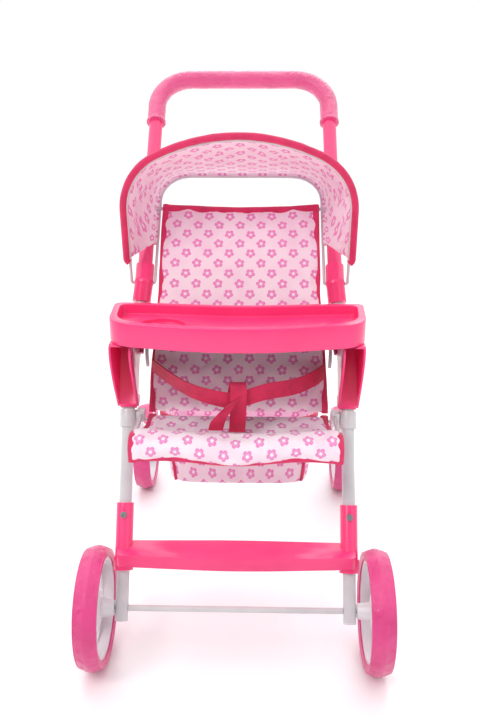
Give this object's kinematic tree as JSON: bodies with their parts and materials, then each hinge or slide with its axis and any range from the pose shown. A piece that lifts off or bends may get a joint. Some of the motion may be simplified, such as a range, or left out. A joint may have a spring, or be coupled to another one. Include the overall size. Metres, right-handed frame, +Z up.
{
  "type": "doll stroller",
  "caption": "Folding toy stroller with a tubular frame, four spoked wheels, padded seat with harness, lift-off tray, canopy, footrest and basket.",
  "frame": {"origin": "middle of the footprint on the floor, halfway between the axles", "axes": "+X to the right across the axles seen from the front, +Y from the front wheels to the handle, +Z up"},
  "size_m": [0.3816, 0.61, 0.7013],
  "materials": {
    "tyre_pink": "satin",
    "hub_white": "gloss",
    "steel": "satin",
    "plastic_pink": "gloss",
    "paint_pink": "gloss",
    "grip_foam": "satin",
    "plastic_magenta": "satin",
    "flower_fabric": "matt",
    "webbing": "matt",
    "plastic_white": "satin",
    "paint_white": "gloss"
  },
  "bodies": {
    "frame": {"front_leg_left": "paint_white", "front_leg_right": "paint_white", "front_leg_plugs": "plastic_white", "footrest": "plastic_pink", "footrest_screws": "steel", "front_axle": "steel", "front_axle_sleeve": "paint_white", "leg_hinge_left": "paint_white", "leg_hinge_right": "paint_white", "hinge_rivets": "steel", "armrest_left": "plastic_pink", "armrest_right": "plastic_pink", "pivot_clamp_left": "plastic_magenta", "pivot_clamp_right": "plastic_magenta", "collar_left": "plastic_pink", "collar_right": "plastic_pink", "handle_tube": "paint_pink", "handle_grip": "grip_foam", "canopy_rear_hoop": "paint_white", "canopy_fabric": "flower_fabric", "seat_frame": "paint_white", "seat_clips": "plastic_white", "seat_base": "flower_fabric", "seat_back": "flower_fabric", "back_bar": "paint_white", "waist_belt": "webbing", "crotch_strap": "webbing", "basket_frame": "paint_white", "basket": "flower_fabric"},
    "rear_frame": {"rear_leg_left": "paint_white", "rear_leg_right": "paint_white", "rear_leg_plugs": "plastic_white", "rear_cross_brace": "paint_white", "rear_axle": "steel", "rear_axle_sleeve": "paint_white"},
    "front_left_wheel": {"front_left_tyre": "tyre_pink", "front_left_hub": "hub_white", "front_left_cap": "hub_white"},
    "front_right_wheel": {"front_right_tyre": "tyre_pink", "front_right_hub": "hub_white", "front_right_cap": "hub_white"},
    "rear_left_wheel": {"rear_left_tyre": "tyre_pink", "rear_left_hub": "hub_white", "rear_left_cap": "hub_white"},
    "rear_right_wheel": {"rear_right_tyre": "tyre_pink", "rear_right_hub": "hub_white", "rear_right_cap": "hub_white"},
    "canopy_bow": {"canopy_front_hoop": "paint_white"},
    "tray_body": {"tray": "plastic_pink"},
    "latch_left": {"fold_latch_left": "plastic_white"},
    "latch_right": {"fold_latch_right": "plastic_white"}
  },
  "joints": [
    {"name": "fold", "type": "hinge", "parent": "frame", "child": "rear_frame", "pos_m": [0, -0.10124, 0.27026], "axis": [1, 0, 0], "range_deg": [-84, 0]},
    {"name": "front_left_spin", "type": "hinge", "parent": "frame", "child": "front_left_wheel", "pos_m": [0, -0.23, 0.075], "axis": [1, 0, 0], "continuous": true},
    {"name": "front_right_spin", "type": "hinge", "parent": "frame", "child": "front_right_wheel", "pos_m": [0, -0.23, 0.075], "axis": [1, 0, 0], "continuous": true},
    {"name": "rear_left_spin", "type": "hinge", "parent": "rear_frame", "child": "rear_left_wheel", "pos_m": [0, 0.23, 0.075], "axis": [1, 0, 0], "continuous": true},
    {"name": "rear_right_spin", "type": "hinge", "parent": "rear_frame", "child": "rear_right_wheel", "pos_m": [0, 0.23, 0.075], "axis": [1, 0, 0], "continuous": true},
    {"name": "canopy_fold", "type": "hinge", "parent": "frame", "child": "canopy_bow", "pos_m": [0, -0.03452, 0.43654], "axis": [1, 0, 0], "range_deg": [-50, 0], "deforming": ["canopy_fabric"]},
    {"name": "tray_lift", "type": "slide", "parent": "frame", "child": "tray_body", "axis": [0, 0, 1], "range_m": [0, 0.08]},
    {"name": "latch_left_turn", "type": "hinge", "parent": "frame", "child": "latch_left", "pos_m": [-0.12003, -0.07401, 0.3635], "axis": [1, 0, 0], "range_deg": [0, 30], "stiffness_Nm_per_rad": 0.02},
    {"name": "latch_right_turn", "type": "hinge", "parent": "frame", "child": "latch_right", "pos_m": [0.12003, -0.07401, 0.3635], "axis": [1, 0, 0], "range_deg": [0, 30], "stiffness_Nm_per_rad": 0.02}
  ]
}
